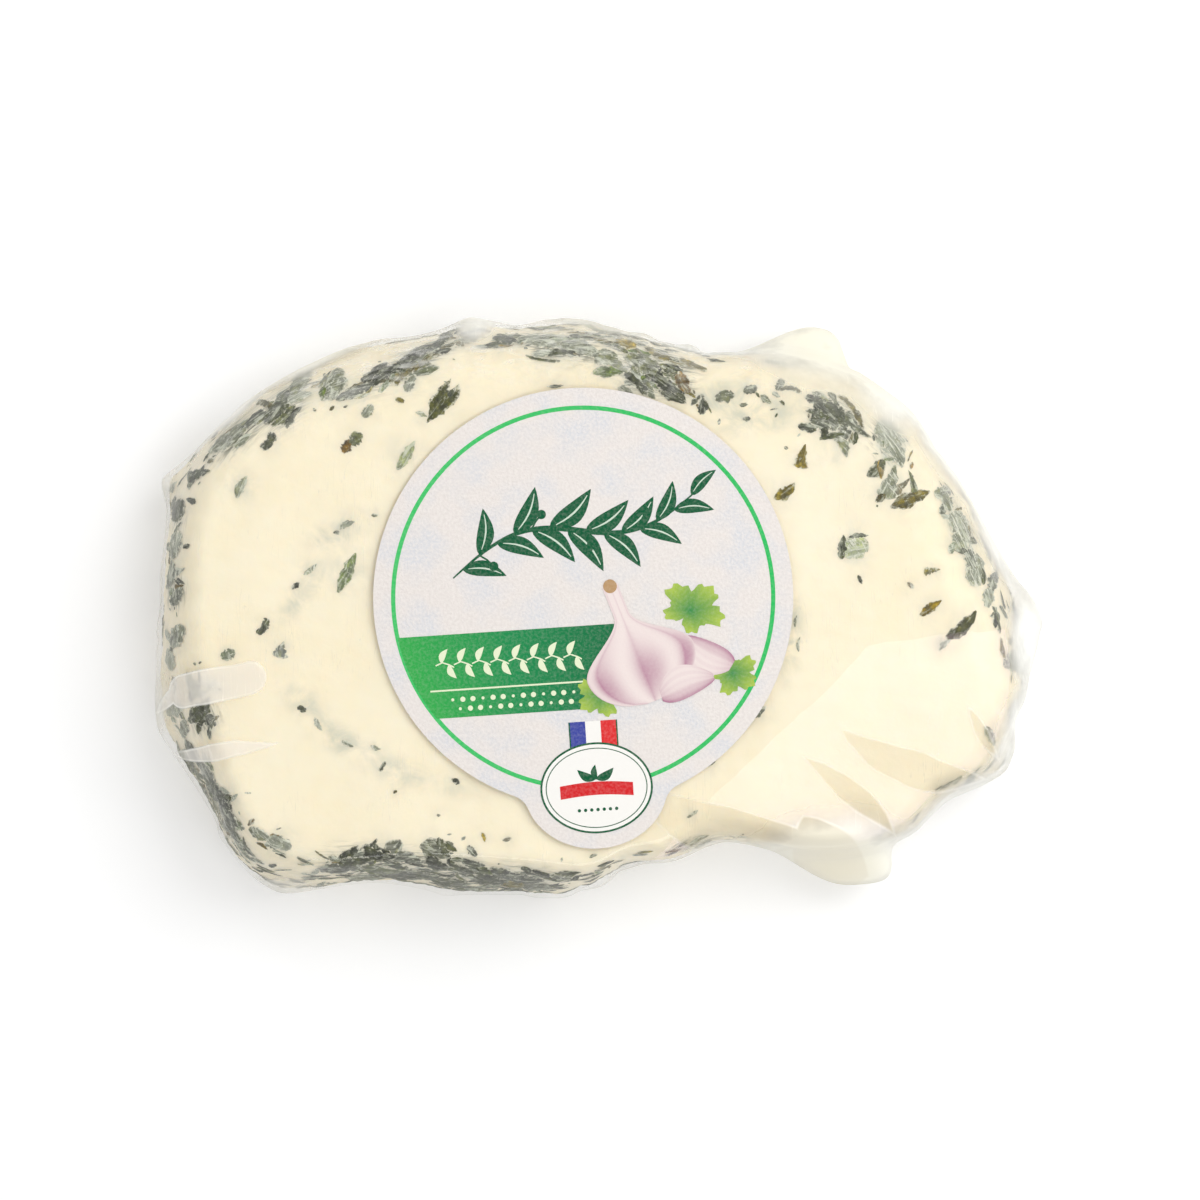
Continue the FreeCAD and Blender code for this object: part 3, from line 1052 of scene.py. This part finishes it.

# Where the film lies slack it turns the light away: bright sheets, and dull lenses between them,
# which are also given painted shade, a darker tan haze.
# Lenses: start, end, bulge to the left, bulge to the right.
DULL = (
    ((31.4, -15.4), (50.6, -22.2), 0.4, 4.4), ((26.4, -18.8), (38.6, -29.2), 2.0, 1.1),
    ((47.6, -12.8), (52.0, -19.4), 0.7, 1.1), ((4.0, -23.0), (28.5, -29.5), 0.9, 6.0),
    ((26.3, -26.7), (35.7, -34.9), 2.4, 6.5),
)
# Pale lenses, and a finger on the left below: painted highlights, white haze that stands in for the
# film's reflections.
PALE = (((-57.8, -13.6), (-50.8, -9.0), 1.7, 0.4), ((-57.0, -19.0), (-41.0, -17.2), 0.8, 1.4))
sheet = least(beyond(flat, (15.0, -23.6), (34.0, -5.0)), beyond(flat, (34.0, -4.6), (56.0, -1.4)))
dull = lenses(flat, DULL)
dulled = span(dull, 0.0, 0.35)
bright = times(times(span(sheet, 0.0, 0.7), less(1.0, dulled)), top_side)
# Painted shade: the dull lenses turn darker tan, less where the film is creamy, and a little in the
# creamy pouch.
pouch_painted_shade = times(times(dulled, creamy), 0.35)
dulled = times(dulled, top_side)
# Painted highlights: white haze over the pale lenses and the finger, with a painted highlight line
# along their edges, strongest to the left.
pale = most(lenses(flat, PALE), finger(flat, (-53.4, -10.6), (-44.6, -8.9), 2.25))
east = node("SeparateXYZ", flat).outputs[0]
painted_edge_highlight = times(times(line_at(pale, 0.12, 0.22), span(east, -46.0, -52.0, 0.35, 1.0)), high)
# Painted highlight lines along the dull lenses' edges, where the film is creamy or high, joined
# with the pale lenses' edge line.
seen = times(span(creamy, 0.3, 1.0, 0.3, 0.8), most(high, creamy))
lines = most(times(line_at(dull, 0.1, 0.3), seen), painted_edge_highlight)
pale = times(span(pale, 0.0, 0.3), high)

# Haze: milky in the ears, rubbed with cheese over the herbs, with fine scratches; painted sheen,
# white haze that grows at a grazing view; painted highlights in the pale lenses and along lens
# edges; and painted shade in the dull lenses.
rubbed = noise(scaled(flow, 0.3, 0.3, 0.5), 1.0, 3.0, 0.6, 0.8)
patchy = noise(spot, 170, 3.0, 0.6)
smear = times(attribute("smear"), span(rubbed, 0.42, 0.7))
smear = times(smear, span(patchy, 0.36, 0.62, 0.0, 0.55))
cloud = times(attribute("haze"), span(patchy, 0.3, 0.6, 0.8, 1.1))
hairs = noise(scaled(spot, 900, 60, 60), 1.0, 2.0, 0.5, 1.5)
scratches = times(line_at(hairs, 0.5, 0.012), span(patchy, 0.5, 0.62, 0.0, 0.12))
# Painted sheen: white haze that grows as the view grazes the film.
grazing_painted_sheen = span(node("LayerWeight", Blend=0.5).outputs["Facing"], 0.55, 1.0)
grazing_painted_sheen = times(times(grazing_painted_sheen, grazing_painted_sheen), attribute("painted_sheen_share"))
amount = plus(most(smear, cloud), scratches)
for share, strength in ((grazing_painted_sheen, 0.5), (pale, 0.58), (lines, 0.6)):
    amount = plus(amount, times(share, strength))
# More haze in the dull lenses, to carry their painted shade.
amount = plus(amount, times(dulled, 0.12), True)
fog = mix_colour(creamy, srgb(255, 254, 246), srgb(253, 248, 227))
# Painted shade: tan haze in the dull lenses.
lens_painted_shade = times(dulled, span(creamy, 0.0, 1.0, 1.0, 0.3))
fog = mix_colour(most(lens_painted_shade, pouch_painted_shade), fog, srgb(228, 217, 190))
# White in the pale lenses as a painted highlight.
fill(shader, Base_Color=mix_colour(pale, fog, srgb(255, 250, 240)), Roughness=0.4)

# Gloss: creases and folds, and the lie of the slack sheets.
creases = noise(scaled(spot, 260, 70, 120), 1.0, 3.0, 0.6, 1.2)
folds = noise(scaled(flow, 0.30, 0.30, 0.10), 1.0, 3.0, 0.55, 0.8)
ridges = times(line_at(folds, 0.5, 0.05), attribute("wall"))
relief = bump(ridges, 0.8, 0.0005, bump(creases, 0.12, 0.0006))
GLOSS_LIMIT, SHEET_GLOSS, LENS_NORMAL = 0.12, (1.0, 0.74, 0.95), (0.08, 0.12, 0.99)
(up, low), (ahead, aside) = aim(FALL_SLOPE), aim(FALL_BEARING)
leant = vectors("ADD", swing(spot, 60.0, 1.0, 0.12), (low * ahead, low * aside, up))
normal = mix_vector(dulled, mix_vector(bright, relief, leant), LENS_NORMAL)
normal = vectors("NORMALIZE", normal)
gloss = node("BsdfGlossy", Roughness=0.07, Normal=normal,
             Color=mix_colour(bright, (1.0, 1.0, 1.0), SHEET_GLOSS))
sheen = least(node("Fresnel", IOR=1.5, Normal=normal).outputs[0], GLOSS_LIMIT)
outside = less(1.0, node("NewGeometry").outputs["Backfacing"])
body = mix_shader(amount, node("BsdfTransparent").outputs[0], shader.outputs[0])
plug(mix_shader(times(sheen, outside), body, gloss.outputs[0]), surface)
film.data.materials.append(film_mat)


# ---------------------------------------------------------------- label

LABEL_CENTRE, LABEL_TURN = (-1.9, 1.4), 3.8
FIBRE_SCALE = 2600
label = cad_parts["label"]
label_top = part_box("label")[1].z / MM

paper_mat = material("label_paper")
spot = object_space()
fibre = noise(spot, FIBRE_SCALE, 3.0, 0.6)
cloudy = noise(spot, 190, 2.0, 0.5)
paper = mix_colour(span(cloudy, 0.42, 0.68), srgb(231, 224, 219), srgb(219, 219, 222))
paper = mix_colour(span(fibre, 0.38, 0.66, 0.0, 0.6), paper, srgb(244, 238, 233))
fill(shader, Base_Color=paper, Roughness=0.75, Specular_IOR_Level=0.2,
     Normal=bump(fibre, 0.55, 0.0002))
label.data.materials.clear()
label.data.materials.append(paper_mat)


def on_label(u, v):
    c, s = aim(LABEL_TURN)
    return LABEL_CENTRE[0] + u * c - v * s, LABEL_CENTRE[1] + u * s + v * c


def laid(u, v, turn, along, aside):
    """A place reached from u, v by going along a turned direction and to its left."""
    c, s = aim(turn)
    return u + along * c - aside * s, v + along * s + aside * c


class Print:
    """Printed shapes in the label's own right and up lengths, each on its own thin layer of ink."""

    def __init__(self):
        self.verts, self.faces, self.tints = [], [], []

    def add(self, points, colours, faces, layer):
        first = len(self.verts)
        top = label_top + INK * layer
        self.verts.extend((*on_label(u, v), top) for u, v in points)
        self.tints.extend((*colour, 1) for colour in colours)
        self.faces.extend(tuple(first + i for i in face) for face in faces)

    def shape(self, points, colour, layer):
        self.add(points, [colour] * len(points), [range(len(points))], layer)

    def box(self, left, width, bottom, top, colour, layer):
        right = left + width
        self.shape([(left, bottom), (right, bottom), (right, top), (left, top)], colour, layer)

    def disc(self, u, v, radius, colour, layer, squash=1.0, steps=24):
        turns = [math.tau * i / steps for i in range(steps)]
        rim = [(u + radius * math.cos(a), v + radius * squash * math.sin(a)) for a in turns]
        self.shape(rim, colour, layer)

    def grid(self, at, across, along, layer):
        """A soft-shaded patch: at(s, t) gives the place and the colour for s and t from 0 to 1."""
        points, colours, faces = [], [], []
        for i in range(along + 1):
            for j in range(across + 1):
                place, colour = at(j / across, i / along)
                points.append(place)
                colours.append(colour)
        for i in range(along):
            for j in range(across):
                a = i * (across + 1) + j
                faces.append((a, a + 1, a + across + 2, a + across + 1))
        self.add(points, colours, faces, layer)

    def stroke(self, points, width, colour, layer, taper=0.0):
        """A pen stroke along points, thinner towards its ends by the share taper."""
        count = len(points)
        left, right = [], []
        for i, (u, v) in enumerate(points):
            before, after = points[max(i - 1, 0)], points[min(i + 1, count - 1)]
            du, dv = after[0] - before[0], after[1] - before[1]
            size = math.hypot(du, dv) or 1
            half = width / 2 * (1 - taper * abs(2 * i / (count - 1) - 1) ** 1.5)
            left.append((u - dv / size * half, v + du / size * half))
            right.append((u + dv / size * half, v - du / size * half))
        faces = [(i, i + 1, count + i + 1, count + i) for i in range(count - 1)]
        self.add(left + right, [colour] * (2 * count), faces, layer)

    def leaf(self, u, v, turn, length, width, colour, layer, bend=0.12, rib=None):
        """A pointed leaf from its stalk end."""
        def at(t, aside):
            return laid(u, v, turn, length * t, aside + bend * length * math.sin(math.pi * t))

        half = [(i / 12, width / 2 * math.sin(math.pi * (i / 12) ** 0.8) ** 0.9) for i in range(13)]
        outline = [at(t, h) for t, h in half] + [at(t, -h) for t, h in half[-2:0:-1]]
        self.shape(outline, colour, layer)
        if rib:
            self.stroke([at(t / 8, 0) for t in range(1, 8)], width * 0.1, rib, layer + 0.9, 0.6)

    def sprig_leaf(self, u, v, turn, size, layer):
        """A lobed herb leaf, yellower towards its tips."""
        def at(s, t):
            a = math.tau * s
            lobes = 0.62 + 0.3 * abs(math.cos(2.5 * a)) ** 0.8 + 0.07 * math.cos(17 * a)
            stem = 1 - 0.35 * math.exp(-((math.cos(a) + 1) / 0.12))
            reach = size * t * lobes * stem * (1.25 if math.cos(a) > 0 else 1.0)
            vein = 0.5 + 0.5 * math.cos(5 * a)
            b = a + math.radians(turn)
            place = u + reach * math.cos(b), v + 0.85 * reach * math.sin(b)
            return place, between(LEAF_DEEP, LEAF_TIP, min(1, t * (0.55 + 0.45 * vein)))

        self.grid(at, 60, 5, layer)

    def garlic(self, u, v, turn, size, layer):
        """A whole bulb with its cloves as ribs and a cut neck."""
        def at(s, t):
            q = 2 * s - 1
            body = math.sqrt(max(1 - ((t - 0.33) / 0.335) ** 2, 0))
            if t >= 0.33:
                body = 0.43 * (1 + math.cos(math.pi * min((t - 0.33) / 0.42, 1))) + 0.14
            across = size * 0.62 * body * math.sin(q * math.pi / 2)
            seam = (1 - abs(math.sin(q * 5.3))) ** 3
            blush = (0.5 + 0.5 * math.cos(q * 10.6 + 1.0)) * math.exp(-(((t - 0.24) / 0.2) ** 2))
            dusk = 0.2 * q * q + 0.4 * seam * (1 - 0.5 * t) + 0.6 * blush
            place = laid(u, v, turn, size * (1.35 * t - 0.5), across)
            return place, between(BULB_PALE, BULB_DUSK, min(1, dusk))

        self.grid(at, 44, 30, layer)
        self.disc(*laid(u, v, turn, 0.84 * size, 0), 0.075 * size, srgb(186, 150, 108), layer + 1)

    def clove(self, u, v, turn, size, layer):
        def at(s, t):
            q = 2 * s - 1
            wide = math.sin(math.pi * (0.04 + 0.92 * t) ** 0.8) ** 0.7
            across = size * 0.3 * wide * q + 0.10 * size * math.sin(math.pi * t)
            dusk = 0.75 * max(0, -q) ** 1.5 + 0.35 * abs(2 * t - 1) ** 3
            dusk += 0.12 * (0.5 + 0.5 * math.cos(q * 14))
            place = laid(u, v, turn, size * (t - 0.5), across)
            return place, between(BULB_PALE, BULB_DUSK, min(1, dusk))

        self.grid(at, 16, 20, layer)


INK = 0.012
RING, RING_WIDTH, BAND_BOTTOM, BAND_HEIGHT = 24.7, 0.55, -14.3, 10.7
PINE, RED = srgb(16, 90, 56), srgb(214, 40, 44)
LEAF_DEEP, LEAF_TIP, RIB = srgb(62, 140, 78), srgb(176, 200, 82), srgb(206, 222, 204)
BULB_PALE, BULB_DUSK = srgb(240, 226, 222), srgb(176, 118, 146)
PAPER_WHITE, CREAM = srgb(247, 245, 240), srgb(232, 240, 206)
BAND_GREENS = (srgb(56, 172, 80), srgb(32, 140, 80), srgb(22, 108, 66))


def ring_at(s, t):
    """The fine ring round the face of the label."""
    a = math.tau * t
    reach = RING - RING_WIDTH * s
    shade = between(srgb(66, 196, 106), srgb(48, 190, 98), 0.5 + 0.5 * math.cos(a))
    return (reach * math.cos(a), reach * math.sin(a)), shade


def band_at(s, t):
    """The band, from the ring to the garlic."""
    v = BAND_BOTTOM + BAND_HEIGHT * t
    left = -math.sqrt((RING - 0.3) ** 2 - v * v)
    first = int(s >= 0.5)
    shade = between(BAND_GREENS[first], BAND_GREENS[first + 1], s * 2 - first)
    return (left + (4.5 - 1.7 * (1 - t) - left) * s, v), shade


def stem_at(t):
    """The stem of the sprig across the middle."""
    return -16.5 + 31.5 * t, 3.6 + 9.6 * t + 2.6 * math.sin(math.tau * t * 0.95)


inks = Print()
inks.grid(ring_at, 1, 160, 1)

# The band with a rule, a chain of small leaves and two rows of dots.
inks.grid(band_at, 24, 24, 2)
inks.stroke([(-20.4 + 0.7 * i, -10.75) for i in range(30)], 0.22, CREAM, 3)
for i in range(8):
    u = -18.6 + 2.35 * i
    inks.stroke([(u - 0.9, -7.5), (u, -7.15), (u + 0.9, -7.5), (u + 1.45, -7.85)], 0.18, CREAM, 3)
    inks.leaf(u - 0.2, -7.2, 62, 2.0, 0.85, CREAM, 3.4)
    inks.leaf(u + 0.75, -7.5, -62, 2.0, 0.85, CREAM, 3.4, -0.12)
for row, v in enumerate((-12.0, -13.2)):
    for i in range(13 - row):
        inks.disc(-17.6 + row * 0.9 + 1.3 * i, v, 0.34 if i % 3 else 0.2, CREAM, 3, steps=14)

# The sprig, with leaves on both sides and a few berries.
inks.stroke([stem_at(i / 60) for i in range(61)], 0.7, PINE, 3.2, 0.75)
for i in range(13):
    t = 0.04 + 0.073 * i
    u, v = stem_at(t)
    after = stem_at(t + 0.02)
    ahead = math.degrees(math.atan2(after[1] - v, after[0] - u))
    side = 1 if i % 2 else -1
    size = 7.4 - 2.2 * abs(t - 0.42) * 2
    inks.leaf(u, v, ahead + side * (50 - 14 * t), size, 0.36 * size, PINE, 1 + 0.2 * (i % 4),
              -0.10 * side, RIB)
    if i % 3 == 1:
        a = math.radians(ahead - side * 62)
        stalk = [(u + r * math.cos(a - 0.1 * r), v + r * math.sin(a - 0.1 * r))
                 for r in (0.0, 1.1, 2.3)]
        inks.stroke(stalk, 0.24, PINE, 2.4)
        inks.disc(*stalk[2], 0.6, PINE, 2.8)
u, v = stem_at(1.0)
inks.leaf(u - 0.3, v - 0.2, 42, 4.6, 1.7, PINE, 1, 0.08, RIB)

# Garlic and leaves.
inks.sprig_leaf(13.6, -2.6, 48, 3.9, 3)
inks.sprig_leaf(1.6, -12.6, 215, 2.9, 4)
inks.sprig_leaf(18.5, -10.9, -38, 2.9, 3)
inks.clove(15.6, -8.0, 146, 7.0, 5)
inks.clove(12.6, -12.2, 16, 7.2, 7)
inks.garlic(6.6, -8.2, 108, 11.8, 6)

# The badge on the tab: stripes above, then an oval with a ribbon, three leaves and a row of dots.
STRIPE, STRIPE_BOTTOM, STRIPE_TOP, BADGE = 1.97, -19.6, -15.9, 0.1
for i, colour in enumerate((srgb(66, 76, 160), PAPER_WHITE, srgb(222, 48, 50))):
    inks.box(-2.8 + STRIPE * i, STRIPE, STRIPE_BOTTOM, STRIPE_TOP, colour, 2)
for left in (-2.98, 3.11):
    inks.box(left, 0.18, STRIPE_BOTTOM, STRIPE_TOP, PINE, 2)
ovals = ((7.24, 5.85, PINE), (6.98, 5.6, PAPER_WHITE),
         (6.55, 5.15, PINE), (6.42, 5.03, PAPER_WHITE))
for layer, (radius, height, colour) in enumerate(ovals, 3):
    inks.disc(BADGE, -24.5, radius, colour, layer, height / radius, 72)
ribbon = [(-4.7 + 9.4 * i / 20, 0.35 * math.sin(math.pi * i / 20)) for i in range(21)]
ribbon = [(u, v, 0.85) for u, v in ribbon] + [(u, v, -0.85) for u, v in ribbon[::-1]]
inks.shape([(BADGE + u, -24.9 + v + edge) for u, v, edge in ribbon], RED, 7)
for turn, length, width, layer, bend in ((150, 2.7, 1.1, 7, 0.12), (30, 2.7, 1.1, 7, -0.12),
                                         (90, 1.9, 0.8, 8, 0.12)):
    inks.leaf(BADGE, -23.4, turn, length, width, PINE, layer, bend)
for i in range(7):
    inks.disc(-2.3 + 0.8 * i, -27.3, 0.22, PINE, 7, steps=12)

ink_mat = material("label_ink")
spot = object_space()
fibre = noise(spot, FIBRE_SCALE, 3.0, 0.6)
blot = noise(spot, 900, 2.0, 0.5)
ink = mix_colour(span(fibre, 0.42, 0.72, 0.0, 0.1), attribute("tint", "Color"), srgb(240, 236, 230))
fill(shader, Base_Color=ink, Roughness=span(blot, 0.3, 0.7, 0.5, 0.7), Specular_IOR_Level=0.12,
     Normal=bump(fibre, 0.3, 0.00012))
printed = add_object("label_print", inks.verts, inks.faces, False)
add_value(printed, "tint", inks.tints)
face_up(printed)
printed.data.materials.append(ink_mat)
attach(printed, ROOT)


# ---------------------------------------------------------------- light, floor and camera

WORLD_LEVEL, MIRRORED_LEVEL, FLOOR_GLOW = 0.565, 0.2, 0.22
FLOOR_SIZE, FLOOR_LEVEL = 8.0, -0.0002
FRAME_WIDTH, FRAME_DISTANCE, CAMERA_SENSOR, CAMERA_PLACE = 0.156, 0.99, 36, (0.00026, 0.0011, 1.0)

world = bpy.data.worlds.new("world")
world.use_nodes = True
bpy.context.scene.world = world
tree = world.node_tree
mirrored = times(node("LightPath").outputs["Is Glossy Ray"], MIRRORED_LEVEL)
fill(tree.nodes["Background"], Color=(1.0, 1.0, 1.0), Strength=plus(mirrored, WORLD_LEVEL))


def softbox(name, bearing, zenith, distance, size, radiance):
    """A lamp aimed at the part. Only the key lamp is seen mirrored in the film."""
    lamp = bpy.data.lights.new(name, "AREA")
    lamp.shape = "RECTANGLE"
    lamp.size, lamp.size_y = size
    lamp.energy = radiance * math.pi * size[0] * size[1]
    stand = bpy.data.objects.new(name, lamp)
    (up, out), (east, north) = aim(zenith), aim(bearing)
    away = Vector((out * east, out * north, up))
    stand.location = away * distance
    stand.rotation_mode = "QUATERNION"
    stand.rotation_quaternion = (-away).to_track_quat("-Z", "Y")
    stand.visible_camera = False
    stand.visible_glossy = name == "key"
    bpy.context.scene.collection.objects.link(stand)


softbox("key", 300.5, 24.0, 1.0, (0.6, 0.36), 1.96)
softbox("side", 36.0, 36.0, 0.55, (0.36, 0.36), 3.2)
for name, bearing, zenith, radiance in (
    ("low_left", 205.0, 72.0, 1.6), ("low_right", 330.0, 74.0, 2.2), ("low_back", 116.0, 70.0, 3.0)
):
    softbox(name, bearing, zenith, 0.9, (0.16, 0.5), radiance)

bpy.ops.mesh.primitive_plane_add(size=FLOOR_SIZE, location=(0, 0, FLOOR_LEVEL))
floor = bpy.context.object
floor.name = "floor"
floor_mat = material("floor")
fill(shader, Base_Color=(0.86, 0.86, 0.86), Roughness=0.9)
glow = times(node("LightPath").outputs["Is Camera Ray"], FLOOR_GLOW)
lift = node("Emission", Color=(1.0, 1.0, 1.0), Strength=glow)
plug(node("AddShader", shader.outputs[0], lift.outputs[0]).outputs[0], surface)
floor.data.materials.append(floor_mat)

camera_data = bpy.data.cameras.new("camera")
camera_data.sensor_width = CAMERA_SENSOR
camera_data.lens = CAMERA_SENSOR * FRAME_DISTANCE / FRAME_WIDTH
camera = bpy.data.objects.new("camera", camera_data)
camera.location = CAMERA_PLACE
bpy.context.scene.collection.objects.link(camera)
bpy.context.scene.camera = camera
bpy.context.scene.view_settings.view_transform = "Standard"
